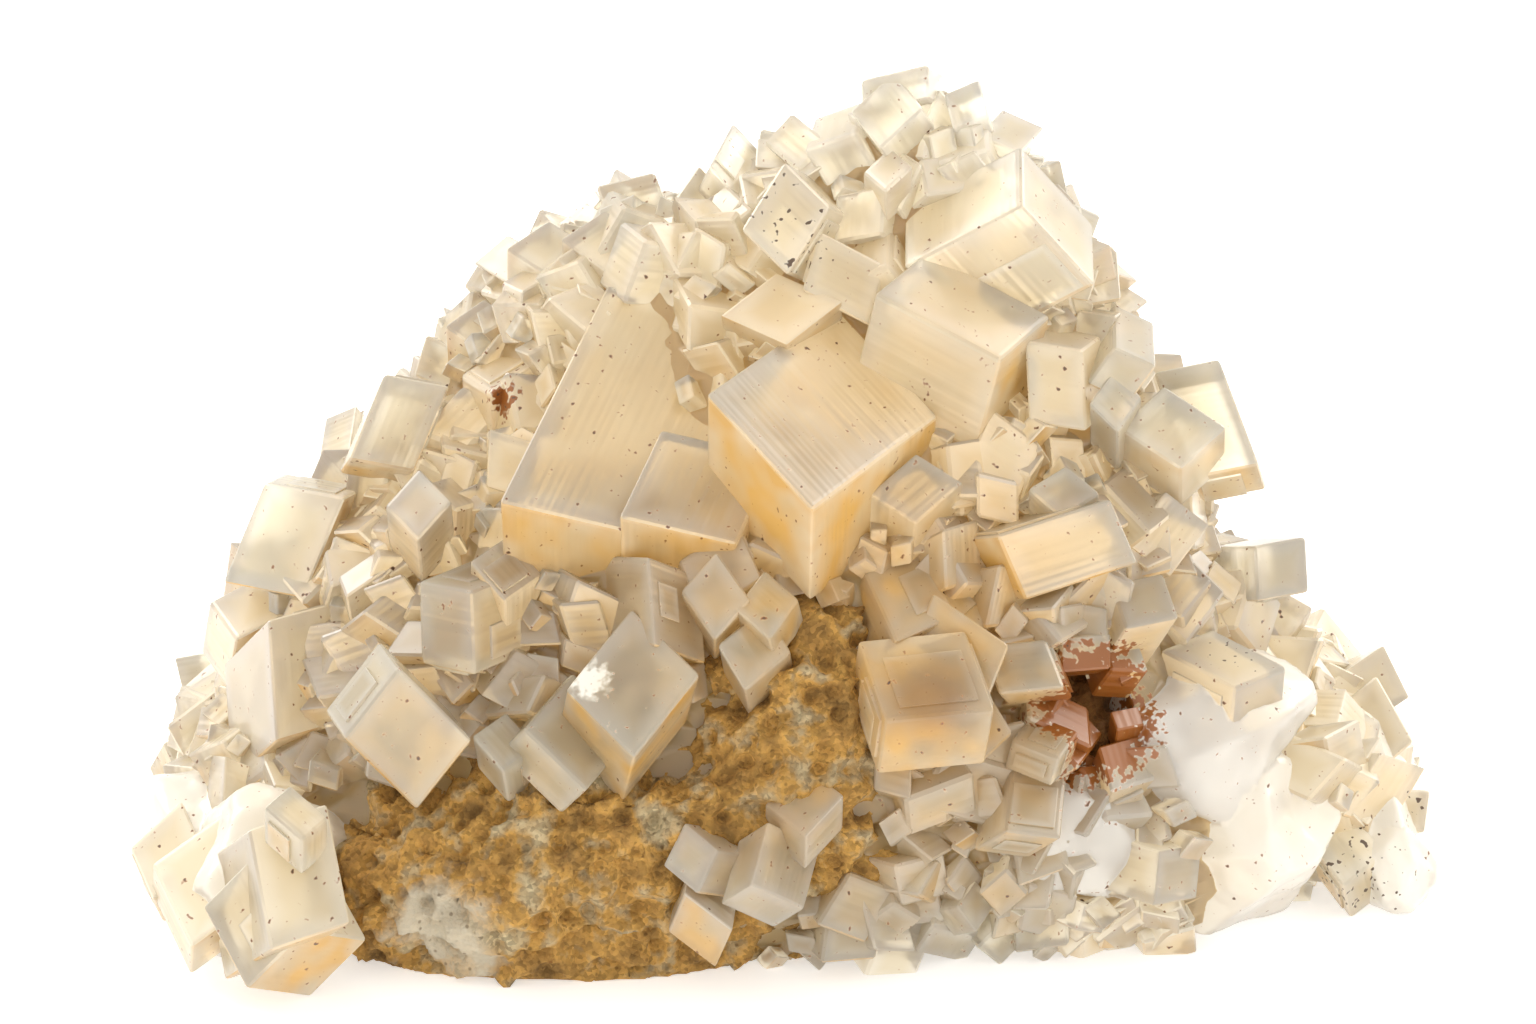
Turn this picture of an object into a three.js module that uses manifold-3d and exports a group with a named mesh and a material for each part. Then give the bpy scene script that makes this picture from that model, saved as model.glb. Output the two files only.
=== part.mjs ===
import * as THREE from 'three';
import * as BufferGeometryUtils from 'three/addons/utils/BufferGeometryUtils.js';
import Module from 'manifold-3d';

// A mound of calcite crystals on a lump of sandy limestone, a hand-sized mineral specimen.
// Millimetres, +Z up. The origin is on the surface that it rests on, under the middle of the mound.
// -Y is its front, +X its right.

const wasm = await Module();
wasm.setup();

// Driving dimensions

const GAP = 0.3; // between the rock and what grew on it
const EDGE_TO_AXIS = 63.7; // degrees between the long axis of a calcite rhomb and each of its edges

// How far the crystal crust reaches to each side at each height.
const CRUST_LEVELS = [
  { z: 0, left: -50, right: 51, front: -28, back: 31 },
  { z: 5, left: -54, right: 54, front: -31, back: 34 },
  { z: 12, left: -51, right: 51, front: -31, back: 34 },
  { z: 20, left: -46, right: 43, front: -28, back: 33 },
  { z: 30, left: -40, right: 37, front: -23, back: 30 },
  { z: 40, left: -30, right: 32, front: -16, back: 25 },
  { z: 48, left: -26, right: 28.5, front: -9, back: 19 },
  { z: 54, left: -20.5, right: 25.5, front: -3.5, back: 15 },
  { z: 56.5, left: -12, right: 24.5, front: -1, back: 14.5 },
  { z: 60, left: 0, right: 21, front: 1, back: 14 },
  { z: 64.5, left: 5, right: 15.5, front: 4, back: 10.5 },
];
const CRUST_LUMPS = 0.05;
const CRUST_SIDES = 20;

// The rock is three lumps: the low front shelf, the ridge that climbs out of it, and the part under
// the right side.
const ROCK_SHELF = [
  { z: 0, left: -43, right: 8, front: -31.5, back: 24 },
  { z: 6, left: -45, right: 11, front: -34.5, back: 26 },
  { z: 12, left: -42, right: 12, front: -34.5, back: 24 },
  { z: 17, left: -34, right: 10, front: -32, back: 20 },
  { z: 20, left: -22, right: 4, front: -24, back: 12 },
];
const ROCK_RIDGE = [
  { z: 0, left: -14, right: 15, front: -27, back: 10 },
  { z: 8, left: -15, right: 16, front: -31, back: 10 },
  { z: 18, left: -14, right: 15, front: -31, back: 8 },
  { z: 26, left: -9, right: 13, front: -28.5, back: 4 },
  { z: 30, left: -3, right: 9, front: -24, back: 0 },
];
const ROCK_RIGHT = [
  { z: 0, left: 6, right: 36, front: -18, back: 22 },
  { z: 8, left: 6, right: 38, front: -21, back: 24 },
  { z: 18, left: 8, right: 36, front: -22, back: 20 },
  { z: 24, left: 12, right: 30, front: -16, back: 12 },
];
const ROCKS = [ROCK_SHELF, ROCK_RIDGE, ROCK_RIGHT];
const ROCK_LUMPS = 0.035;
const ROCK_SIDES = 18;
const CLEAR_OF_ROCK = 1; // how far the small crystals keep from the bare rock

// Rounded masses of white calcite without crystal faces, and the feet of the crust that stand out
// from the mound. No small crystals sit on a bare one.
const MASSIVE_CALCITE = [
  { name: 'white knob, low right', at: [39.5, -18, 7], radii: [8.5, 9, 8], bare: true },
  { name: 'white shoulder above it', at: [36.5, -14.5, 16], radii: [9.5, 9.5, 8.5], bare: true },
  { name: 'stepped white mass', at: [22, -21, 10], radii: [10, 8, 8] },
  { name: 'left foot', at: [-44, -23, 5], radii: [8, 12, 8] },
  { name: 'left end', at: [-49, -13, 5], radii: [7, 12, 7] },
  { name: 'right end', at: [52, -6, 5], radii: [6, 12, 8] },
  { name: 'round clump, right end', at: [54, -16, 3.5], radii: [3.6, 4, 3.6] },
];

// Where the crust is missing: a pit that shows the rusty rock behind it, and the undercut to the
// right of the bare rock.
const HOLLOWS = [
  { name: 'rusty pocket', at: [26.5, -26, 21], radii: [3.5, 10, 5.5] },
  { name: 'undercut', at: [15, -34, -1], radii: [15, 12, 6] },
];

// The crystals that stand out, each by the corner that points forward, the direction of its long axis
// (azimuth, tilt from upright and spin about it, in degrees) and the length of its three edges.
// An edge with a minus sign runs the other way along its lattice direction.
const LARGE_CRYSTALS = [
  { name: 'big slab', corner: [-23.5, -21.5, 39.5], axis: [-62, 85, -48], edges: [-24, 20, -7.5] },
  { name: 'middle cube', corner: [2.5, -29, 41.5], axis: [-10, 66, -32], edges: [-14, 19, -11] },
  { name: 'upper right', corner: [20.5, -5.5, 60.5], axis: [-80, 52, -12], edges: [-8, -11.5, -10] },
  { name: 'under the upper right', corner: [18.5, -14, 49.5], axis: [-63, 73, 50], edges: [-12, -9, -9] },
  { name: 'dotted, near the top', corner: [0.5, -9.5, 55.5], axis: [-35, 70, 15], edges: [-5.5, 7, -11.5] },
  { name: 'right box', corner: [34, -13.5, 39.5], axis: [90, 80, -5], edges: [6, 6.5, 5.5] },
  { name: 'right outer slab', corner: [41, -11, 39], axis: [50, 70, 20], edges: [6, 10, -6] },
  { name: 'right wedge', corner: [18, -23, 37], axis: [85, 55, 35], edges: [15, -6.5, 10.5] },
  { name: 'twin in the slab', corner: [-13.5, -22.5, 38.5], axis: [-62, 85, -48], edges: [-9.5, 10, -7.5] },
  { name: 'left of the slab', corner: [-25, -8, 44.5], axis: [170, 65, 50], edges: [-8.5, -10, 8] },
  { name: 'left outer 1', corner: [-37, -11, 39.5], axis: [130, 60, -25], edges: [7, -6, 8] },
  { name: 'left outer 2', corner: [-41.5, -10.5, 26.5], axis: [-160, 35, -50], edges: [8, -6, 9.5] },
  { name: 'left outer 3', corner: [-47.5, -10, 22.5], axis: [-180, 50, 40], edges: [-6, -6, 7] },
  { name: 'left pyramid', corner: [-43, -21, 17.5], axis: [160, 75, -35], edges: [13, -8, 10.5] },
  { name: 'left middle cube', corner: [-31.5, -30, 28], axis: [47, 87, -30], edges: [9, 6, -8] },
  { name: 'lower left big', corner: [-12, -36, 22.5], axis: [-155, 65, 15], edges: [-9, -8.5, 9] },
  { name: 'behind the lower left', corner: [-16, -33.5, 18.5], axis: [-130, 45, 10], edges: [-8, -4, 7.5] },
  { name: 'middle tall', corner: [-10.5, -29, 29.5], axis: [10, 60, 25], edges: [6, 7.5, -12.5] },
  { name: 'left middle box', corner: [-25.5, -27, 26], axis: [-70, 45, 55], edges: [-5, 7, -8] },
  { name: 'centre wedge', corner: [-6.5, -26.5, 31], axis: [-165, 55, 5], edges: [-6, -5, 6] },
  { name: 'right of centre', corner: [9.5, -28, 29.5], axis: [-170, 40, 20], edges: [-6, -5, 8] },
  { name: 'right centre band', corner: [17, -30, 25], axis: [-150, 88, 5], edges: [-5, -4, 8] },
  { name: 'lower centre', corner: [8.5, -34, 25], axis: [-120, 75, 45], edges: [-8.5, -6, -9] },
  { name: 'right yellow block', corner: [29, -22.5, 28.5], axis: [170, 35, 35], edges: [-5, -7.5, 6] },
  { name: 'small yellow', corner: [18, -28.5, 25], axis: [5, 20, -5], edges: [5.5, 5, -4] },
  { name: 'upright glassy', corner: [26, -12.5, 42.5], axis: [-45, 45, 45], edges: [-5, 7, -13] },
  { name: 'right box 2', corner: [36, -9.5, 30.5], axis: [-35, 40, 35], edges: [-6, 6.5, -9.5] },
  { name: 'right box 3', corner: [36, -12, 29.5], axis: [30, 40, -35], edges: [-6, 5, -5] },
  { name: 'right outer 2', corner: [41.5, -10, 26], axis: [-130, 35, -35], edges: [-5, -7, 5] },
  { name: 'right outer 3', corner: [45, -4, 20], axis: [105, 75, -5], edges: [4, 5.5, 4] },
  { name: 'right phantom', corner: [52.5, -8, 8.5], axis: [-160, 65, -5], edges: [-5, -4, 7] },
  { name: 'right end box', corner: [52, -13, 5.5], axis: [-140, 25, -35], edges: [-5, -6, 4] },
  { name: 'left front foot', corner: [-41.5, -42, 8], axis: [-150, 35, -5], edges: [-7, -11, 11] },
  { name: 'left block of the foot', corner: [-49, -35, 5], axis: [-170, 55, 20], edges: [-8, -5, 10] },
  { name: 'right block of the foot', corner: [-44, -40, 3.5], axis: [-60, 70, 10], edges: [-8, 7, -8] },
  { name: 'small, on the left foot', corner: [-39, -39, 16.5], axis: [5, 65, -40], edges: [-4.5, 4.5, -4] },
  { name: 'step box', corner: [23, -31.5, 20.5], axis: [-160, 55, 45], edges: [-4, -3, 5] },
  { name: 'white block', corner: [18.5, -34, 15], axis: [165, 15, 30], edges: [-5, -5, 7.5] },
  { name: 'left end', corner: [-53.5, -26, 5], axis: [-170, 65, 10], edges: [-6, -6, 6] },
  { name: 'top', corner: [7, 4, 66], axis: [126, 72, -55], edges: [7, -6, 3] },
  { name: 'top right', corner: [15, 4, 64.5], axis: [-45, 85, -12], edges: [-3.5, 3.5, -4] },
  { name: 'top left', corner: [2, 3, 63], axis: [-65, 35, -35], edges: [-9, 5, -4] },
  { name: 'top middle', corner: [8.5, 0, 64], axis: [-39, 63, -6], edges: [-4.5, 5.5, -5] },
  { name: 'grey, under the top', corner: [5, -7.5, 54], axis: [-70, 40, -25], edges: [-9.5, 4.5, -5] },
  { name: 'wedge under the top', corner: [7.5, -9.5, 51], axis: [-30, 55, 20], edges: [-6.5, 5.5, -6] },
  { name: 'shelf 1', corner: [-15, -2, 53.5], axis: [-91, 85, -60], edges: [-5, -5.5, -5.5] },
  { name: 'shelf 2', corner: [-20.5, 1, 52.5], axis: [-86, 81, 59], edges: [-4.5, -4.5, -5] },
  { name: 'shelf 3', corner: [-26.5, 1, 45.5], axis: [-89, 87, 60], edges: [-4, -5.5, -4.5] },
  { name: 'right edge', corner: [29.7, -11, 44.5], axis: [-125, 30, 35], edges: [-13, 4, 4] },
  { name: 'shoulder block', corner: [38.5, -21, 22.5], axis: [-90, 57, 56], edges: [-8, -7, -6] },
  { name: 'right wing', corner: [42.5, -14, 18.5], axis: [-10, 75, -45], edges: [-9.5, 5, -6] },
  { name: 'low right', corner: [48.5, -21, 4], axis: [-30, 60, -25], edges: [-6, 5.5, -5] },
  { name: 'honey block 1', corner: [-5.5, -29, 30], axis: [-161, 70, 3], edges: [-4.5, -8.5, 5.5] },
  { name: 'honey block 2', corner: [-1, -30, 30.5], axis: [-16, 58, -17], edges: [-4, 5, -4] },
  { name: 'honey block 3', corner: [-3, -31.5, 26.5], axis: [-27, 74, -12], edges: [-4.5, 5.5, -6] },
  { name: 'left of the dotted', corner: [-3.5, 3, 58.5], axis: [8, 75, -20], edges: [-4, 8, -3.5] },
  { name: 'above the shelf', corner: [-7, 3, 55], axis: [-18, 71, 0], edges: [-4, 5, -7.5] },
  { name: 'under the wedge', corner: [15, -27, 29], axis: [-8, 68, -34], edges: [-4.5, 6.5, -5] },
  { name: 'between box and slab', corner: [-23, -24, 31.5], axis: [-7, 67, -34], edges: [-5, 5.5, -5] },
  { name: 'left jumble 1', corner: [-30.5, -20, 35.5], axis: [-166, 67, 23], edges: [-4.5, -6.5, 5.5] },
  { name: 'right jumble 1', corner: [23.5, -20, 37.5], axis: [-98, 89, 59], edges: [-4, -5, -4] },
  { name: 'right jumble 2', corner: [28.5, -14, 43], axis: [-18, 64, -11], edges: [-3.5, 4.5, -7.5] },
  { name: 'neck', corner: [9, -3, 61], axis: [-174, 64, 29], edges: [-3.5, -4, 4] },
  { name: 'low left', corner: [-23, -32, 19.5], axis: [-13, 62, -33], edges: [-4.5, 4.5, -4] },
];

// The two crystals that sit by themselves on the bare rock, and the druse at their foot.
const LOWER_CLUSTER = [
  { name: 'upper', corner: [2, -36, 15.5], axis: [-172, 64, 36], edges: [-5, -4, 6] },
  { name: 'lower', corner: [-2.5, -38, 12], axis: [147, 66, -2], edges: [4, -7, 6] },
  { name: 'druse 1', corner: [-7, -36.5, 10.5], axis: [-60, 50, 20], edges: [-4, 4, -4] },
  { name: 'druse 2', corner: [-4, -37, 7.5], axis: [20, 70, -30], edges: [-5, 4, -5] },
];

// The smaller crystals that fill the crust, set out in rows around the mound.
const FILL_ROW = 7; // from row to row
const FILL_SPACING = 9.5; // along a row
const FILL_SIZE = { low: [4, 7.5], high: [3.5, 5.5] }; // shortest and longest, at the foot and the top
const FILL_SHAPE = [0.75, 1.2]; // an edge, as a share of the crystal's size
const FILL_TILT = [15, 90]; // the long axis from upright
const FILL_RISE = [-2.5, 2.5]; // off its row
const FIRST_ROW = 3; // height above the floor
const CLEAR_OF_LARGE = 0.25; // share of a small crystal's size that its middle keeps off a large one
const CLEAR_OF_BARE = 1.5; // how far it keeps off a bare mass

const CUTTING_ROOM = { width: 300, height: 150 }; // more than the whole specimen
const CAP = 1; // how far a mound's top stands over its last level

// One repeatable stream of numbers from 0 to 1, so that the specimen is the same each time.
let stream = 20261;
function chance(low = 0, high = 1) {
  stream = (Math.imul(stream, 1664525) + 1013904223) >>> 0;
  return low + ((high - low) * stream) / 4294967296;
}

const radians = THREE.MathUtils.degToRad;

// The three edge directions of a rhomb whose long axis points as axis says.
function edgeDirections([azimuth, tilt, spin]) {
  const turn = new THREE.Matrix4()
    .makeRotationZ(radians(azimuth))
    .multiply(new THREE.Matrix4().makeRotationY(radians(tilt)))
    .multiply(new THREE.Matrix4().makeRotationZ(radians(spin)));
  return [0, 120, 240].map((around) => {
    const out = Math.sin(radians(EDGE_TO_AXIS));
    const edge = new THREE.Vector3(
      out * Math.cos(radians(around)),
      out * Math.sin(radians(around)),
      Math.cos(radians(EDGE_TO_AXIS)),
    );
    return edge.applyMatrix4(turn);
  });
}

// A rhomb from one corner: a unit box sheared onto its three edges.
function rhomb({ corner, axis, edges }) {
  const [a, b, c] = edgeDirections(axis).map((way, i) => way.multiplyScalar(edges[i]));
  const lattice = new THREE.Matrix4().makeBasis(a, b, c).setPosition(new THREE.Vector3(...corner));
  const geometry = new THREE.BoxGeometry(1, 1, 1).translate(0.5, 0.5, 0.5).applyMatrix4(lattice);
  if (lattice.determinant() < 0) {
    const index = geometry.getIndex();
    for (let i = 0; i < index.count; i += 3) {
      const second = index.getX(i + 1);
      index.setX(i + 1, index.getX(i + 2));
      index.setX(i + 2, second);
    }
  }
  return solid(geometry);
}

// A closed three.js geometry as a manifold solid.
function solid(geometry) {
  const bare = geometry.clone();
  bare.deleteAttribute('normal');
  bare.deleteAttribute('uv');
  const merged = BufferGeometryUtils.mergeVertices(bare);
  return new wasm.Manifold(
    new wasm.Mesh({
      numProp: 3,
      vertProperties: Float32Array.from(merged.getAttribute('position').array),
      triVerts: Uint32Array.from(merged.getIndex().array),
    }),
  );
}

// The outline of a mound at one height, between the levels above and below it.
function outlineAt(levels, z) {
  let upper = levels.findIndex((level) => level.z >= z);
  if (upper < 0) upper = levels.length - 1;
  if (upper === 0) upper = 1;
  const below = levels[upper - 1];
  const above = levels[upper];
  const share = THREE.MathUtils.clamp((z - below.z) / (above.z - below.z), 0, 1);
  const mix = (key) => THREE.MathUtils.lerp(below[key], above[key], share);
  return {
    x: (mix('left') + mix('right')) / 2,
    y: (mix('front') + mix('back')) / 2,
    halfWidth: (mix('right') - mix('left')) / 2,
    halfDepth: (mix('back') - mix('front')) / 2,
  };
}

// Hollows and swellings around a mound, as a share of its reach.
function swelling(angle, z) {
  return (
    0.45 * Math.sin(3 * angle + 0.11 * z + 1.3) +
    0.3 * Math.sin(5 * angle - 0.19 * z + 0.4) +
    0.25 * Math.sin(9 * angle + 0.33 * z + 2.1)
  );
}

const SQUARENESS = 2.4; // 2 is an ellipse, more is boxier
function moundPoint(levels, lumps, angle, z, grow = 0) {
  const outline = outlineAt(levels, z);
  const c = Math.cos(angle);
  const s = Math.sin(angle);
  const square = (Math.abs(c) ** SQUARENESS + Math.abs(s) ** SQUARENESS) ** (-1 / SQUARENESS);
  const reach = square * (1 + lumps * swelling(angle, z));
  return new THREE.Vector3(
    outline.x + (outline.halfWidth * reach + grow) * c,
    outline.y + (outline.halfDepth * reach + grow) * s,
    z,
  );
}

// Whether a point lies inside a mound, or less than margin outside it.
function insideMound(levels, lumps, point, margin = 0) {
  if (point.z > levels.at(-1).z + margin) return false;
  const outline = outlineAt(levels, point.z);
  const dx = (point.x - outline.x) / (outline.halfWidth + margin);
  const dy = (point.y - outline.y) / (outline.halfDepth + margin);
  const angle = Math.atan2(dy, dx);
  const away = (Math.abs(dx) ** SQUARENESS + Math.abs(dy) ** SQUARENESS) ** (1 / SQUARENESS);
  return away < 1 + lumps * swelling(angle, point.z);
}

// A mound lofted through its levels.
function mound(levels, lumps, sides, grow = 0) {
  const heights = levels.map((level) => level.z);
  const points = [];
  heights.forEach((z, ring) => {
    const last = ring === heights.length - 1;
    for (let i = 0; i < sides; i++) {
      const point = moundPoint(levels, lumps, (2 * Math.PI * i) / sides, z, grow);
      if (ring === 0) point.z -= grow;
      if (last) point.z += grow;
      points.push(point);
    }
  });
  const bottom = outlineAt(levels, heights[0]);
  const top = outlineAt(levels, heights.at(-1));
  points.push(new THREE.Vector3(bottom.x, bottom.y, heights[0] - grow));
  points.push(new THREE.Vector3(top.x, top.y, heights.at(-1) + grow + CAP));
  const faces = [];
  const bottomPoint = points.length - 2;
  const topPoint = points.length - 1;
  const lastRing = (heights.length - 1) * sides;
  for (let i = 0; i < sides; i++) {
    const next = (i + 1) % sides;
    faces.push(bottomPoint, next, i);
    faces.push(topPoint, lastRing + i, lastRing + next);
    for (let start = 0; start < lastRing; start += sides) {
      faces.push(start + i, start + next, start + sides + next);
      faces.push(start + i, start + sides + next, start + sides + i);
    }
  }
  const geometry = new THREE.BufferGeometry().setFromPoints(points);
  geometry.setIndex(faces);
  return solid(geometry);
}

function ellipsoid({ at, radii }) {
  const geometry = new THREE.IcosahedronGeometry(1, 2);
  geometry.scale(...radii);
  geometry.translate(...at);
  return solid(geometry);
}

// The rock, or a copy that is larger all round, to cut what grew on it.
function rock(grow = 0) {
  return union(ROCKS.map((levels) => mound(levels, ROCK_LUMPS, ROCK_SIDES, grow)));
}

function onBareRock(point) {
  return ROCKS.some((levels) => insideMound(levels, ROCK_LUMPS, point, CLEAR_OF_ROCK));
}

function middleOf({ corner, axis, edges }) {
  const middle = new THREE.Vector3(...corner);
  edgeDirections(axis).forEach((way, i) => middle.addScaledVector(way, edges[i] / 2));
  return middle;
}

// Whether a point lies in an ellipsoid, or less than margin outside it.
function inEllipsoid({ at, radii }, point, margin) {
  const reach = new THREE.Vector3(...radii).addScalar(margin);
  return point.clone().sub(new THREE.Vector3(...at)).divide(reach).length() < 1;
}

// The middle of each large crystal, half its edges, and the turn from a direction to lengths along them.
const largeFrames = LARGE_CRYSTALS.map((large) => ({
  middle: middleOf(large),
  toLattice: new THREE.Matrix4().makeBasis(...edgeDirections(large.axis)).invert(),
  half: large.edges.map((edge) => Math.abs(edge) / 2),
}));

// Whether a small crystal at a point would stand in a large one, or against its faces.
function crowdsLarge(point, size) {
  return largeFrames.some(({ middle, toLattice, half }) => {
    const along = point.clone().sub(middle).applyMatrix4(toLattice).toArray();
    return Math.max(...along.map((length, i) => Math.abs(length) - half[i])) < CLEAR_OF_LARGE * size;
  });
}

// Whether a small crystal may grow at a point.
function isFree(point, size) {
  if (onBareRock(point) || crowdsLarge(point, size)) return false;
  if (HOLLOWS.some((hollow) => inEllipsoid(hollow, point, size / 2))) return false;
  return !MASSIVE_CALCITE.some((mass) => mass.bare && inEllipsoid(mass, point, CLEAR_OF_BARE));
}

function fillCrystals() {
  const crystals = [];
  for (let z = FIRST_ROW; z < CRUST_LEVELS.at(-1).z; z += FILL_ROW) {
    const outline = outlineAt(CRUST_LEVELS, z);
    const around = Math.PI * (outline.halfWidth + outline.halfDepth);
    const count = Math.max(3, Math.round(around / FILL_SPACING));
    for (let i = 0; i < count; i++) {
      const angle = (2 * Math.PI * (i + chance(0.1, 0.9))) / count;
      const height = z + chance(...FILL_RISE);
      const share = z / CRUST_LEVELS.at(-1).z;
      const size = chance(
        THREE.MathUtils.lerp(FILL_SIZE.low[0], FILL_SIZE.high[0], share),
        THREE.MathUtils.lerp(FILL_SIZE.low[1], FILL_SIZE.high[1], share),
      );
      const axis = [chance(-180, 180), chance(...FILL_TILT), chance(-60, 60)];
      const edges = [0, 1, 2].map(() => size * chance(...FILL_SHAPE));
      const middle = moundPoint(CRUST_LEVELS, CRUST_LUMPS, angle, height);
      if (!isFree(middle, size)) continue;
      const corner = middle.clone().sub(middleOf({ corner: [0, 0, 0], axis, edges }));
      crystals.push({ corner: corner.toArray(), axis, edges });
    }
  }
  return crystals;
}

function union(solids) {
  return solids.reduce((whole, piece) => whole.add(piece));
}

// Everything above the surface that the specimen rests on.
function cutAtFloor(whole) {
  const { width, height } = CUTTING_ROOM;
  return whole.intersect(solid(new THREE.BoxGeometry(width, width, height).translate(0, 0, height / 2)));
}

// The largest connected part of a solid, as a three.js geometry: the booleans can leave loose chips.
function largestPiece(whole) {
  const { numProp, vertProperties, triVerts } = whole.getMesh();
  const group = Array.from({ length: vertProperties.length / numProp }, (_, i) => i);
  const rootOf = (i) => {
    while (group[i] !== i) {
      group[i] = group[group[i]];
      i = group[i];
    }
    return i;
  };
  for (let t = 0; t < triVerts.length; t += 3) {
    group[rootOf(triVerts[t + 1])] = rootOf(triVerts[t]);
    group[rootOf(triVerts[t + 2])] = rootOf(triVerts[t]);
  }
  const sizes = new Map();
  for (const i of triVerts) sizes.set(rootOf(i), (sizes.get(rootOf(i)) ?? 0) + 1);
  const largest = [...sizes].sort((one, other) => other[1] - one[1])[0][0];
  const geometry = new THREE.BufferGeometry();
  geometry.setAttribute('position', new THREE.BufferAttribute(Float32Array.from(vertProperties), 3));
  geometry.setIndex([...triVerts].filter((_, i) => rootOf(triVerts[i - (i % 3)]) === largest));
  return geometry;
}

function mesh(name, whole, material) {
  const part = new THREE.Mesh(largestPiece(whole), new THREE.MeshStandardMaterial(material));
  part.name = name;
  return part;
}

const cutter = rock(GAP);
const crystals = union([...LARGE_CRYSTALS, ...fillCrystals()].map(rhomb));
const massive = union(MASSIVE_CALCITE.map(ellipsoid));
const crustBody = mound(CRUST_LEVELS, CRUST_LUMPS, CRUST_SIDES).add(massive);
const cluster = cutAtFloor(union(LOWER_CLUSTER.map(rhomb))).subtract(cutter);
const hollows = union(HOLLOWS.map(ellipsoid));
const crust = cutAtFloor(crustBody.subtract(hollows).add(crystals)).subtract(cutter);

const LIMESTONE = { color: 0xb2935a, roughness: 0.95, metalness: 0 };
const CALCITE = { color: 0xe6d8bd, roughness: 0.25, metalness: 0 };

const specimen = new THREE.Group();
specimen.add(mesh('limestone_matrix', cutAtFloor(rock()), LIMESTONE));
specimen.add(mesh('calcite_crust', crust, CALCITE));
specimen.add(mesh('lower_crystal_cluster', cluster, CALCITE));

export default specimen;
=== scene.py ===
import math

import bmesh
import bpy
from mathutils import Matrix, Vector, noise


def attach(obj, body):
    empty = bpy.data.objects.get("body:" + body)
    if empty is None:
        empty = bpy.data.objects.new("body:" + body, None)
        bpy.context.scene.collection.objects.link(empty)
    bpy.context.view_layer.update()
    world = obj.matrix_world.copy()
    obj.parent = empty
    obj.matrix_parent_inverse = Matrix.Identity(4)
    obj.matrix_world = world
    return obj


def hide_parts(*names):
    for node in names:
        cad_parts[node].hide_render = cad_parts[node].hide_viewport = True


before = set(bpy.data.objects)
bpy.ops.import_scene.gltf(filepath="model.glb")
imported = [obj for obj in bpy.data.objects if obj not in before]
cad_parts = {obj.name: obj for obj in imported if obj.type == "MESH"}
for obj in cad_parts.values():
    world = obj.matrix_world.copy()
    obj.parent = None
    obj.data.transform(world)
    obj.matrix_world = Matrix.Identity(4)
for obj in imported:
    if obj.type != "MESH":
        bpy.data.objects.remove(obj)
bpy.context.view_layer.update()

MM = 0.001


# The light table and the lamps
# The specimen stands on an evenly glowing white opal sheet, which lights it from below.
# Two large soft boxes stand behind it, and the even white light of the room fills its front.

def linear(colour):
    """A colour given as sRGB hex, such as "e6d8bd", as linear red, green, blue and alpha."""
    parts = [int(colour[i:i + 2], 16) / 255 for i in (0, 2, 4)]
    return [p / 12.92 if p <= 0.04045 else ((p + 0.055) / 1.055) ** 2.4 for p in parts] + [1.0]


def add(tree, kind, inputs=None, **settings):
    """A new node of a kind in a material's tree, with its settings, and its inputs set or linked."""
    made = tree.nodes.new(kind)
    for name, value in settings.items():
        setattr(made, name, value)
    for socket, value in (inputs or {}).items():
        if isinstance(value, bpy.types.NodeSocket):
            tree.links.new(value, made.inputs[socket])
        else:
            made.inputs[socket].default_value = value
    return made


def new_material(name):
    """An empty material's tree with its output node."""
    material = bpy.data.materials.new(name)
    material.use_nodes = True
    material.node_tree.nodes.clear()
    output = material.node_tree.nodes.new("ShaderNodeOutputMaterial")
    return material, material.node_tree, output


def link_object(name, mesh):
    """A new object of a mesh, put in the scene."""
    made = bpy.data.objects.new(name, mesh)
    bpy.context.scene.collection.objects.link(made)
    return made


FLOOR_HALF = 2.5  # metres
FLOOR_GLOW = 0.5
ROOM_LIGHT = 1.08
floor_mesh = bpy.data.meshes.new("light_table")
corners = [(-FLOOR_HALF, -FLOOR_HALF, 0), (FLOOR_HALF, -FLOOR_HALF, 0),
           (FLOOR_HALF, FLOOR_HALF, 0), (-FLOOR_HALF, FLOOR_HALF, 0)]
floor_mesh.from_pydata(corners, [], [(0, 1, 2, 3)])
floor = link_object("light_table", floor_mesh)

# Opal acrylic, lit from underneath: an even white with no highlight.
opal, tree, output = new_material("opal_acrylic_lit")
sheet = add(tree, "ShaderNodeBsdfDiffuse", {"Color": linear("f4f3f1")})
glow = add(tree, "ShaderNodeEmission", {"Color": linear("fffefc"), "Strength": FLOOR_GLOW})
both = add(tree, "ShaderNodeAddShader", {0: sheet.outputs[0], 1: glow.outputs[0]})
tree.links.new(both.outputs[0], output.inputs["Surface"])
floor_mesh.materials.append(opal)

world = bpy.data.worlds.new("studio")
world.use_nodes = True
world.node_tree.nodes["Background"].inputs["Color"].default_value = linear("fffdf9")
world.node_tree.nodes["Background"].inputs["Strength"].default_value = ROOM_LIGHT
bpy.context.scene.world = world

LOOK_AT = Vector((-1.1, 9.9, 27.1)) * MM
SOFT_BOX = 0.5  # metres across


def soft_box(name, place, power):
    """A square, faintly warm area lamp that faces the specimen, with its power in watts."""
    data = bpy.data.lights.new(name, "AREA")
    data.size = SOFT_BOX
    data.energy = power
    data.color = linear("fffaf2")[:3]
    lamp = bpy.data.objects.new(name, data)
    lamp.location = place
    lamp.rotation_euler = (LOOK_AT - Vector(place)).to_track_quat("-Z", "Y").to_euler()
    bpy.context.scene.collection.objects.link(lamp)


soft_box("soft_box_back_left", (-0.55, 0.45, 0.6), 5.0)
soft_box("soft_box_back_right", (0.6, 0.4, 0.5), 3.5)

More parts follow.
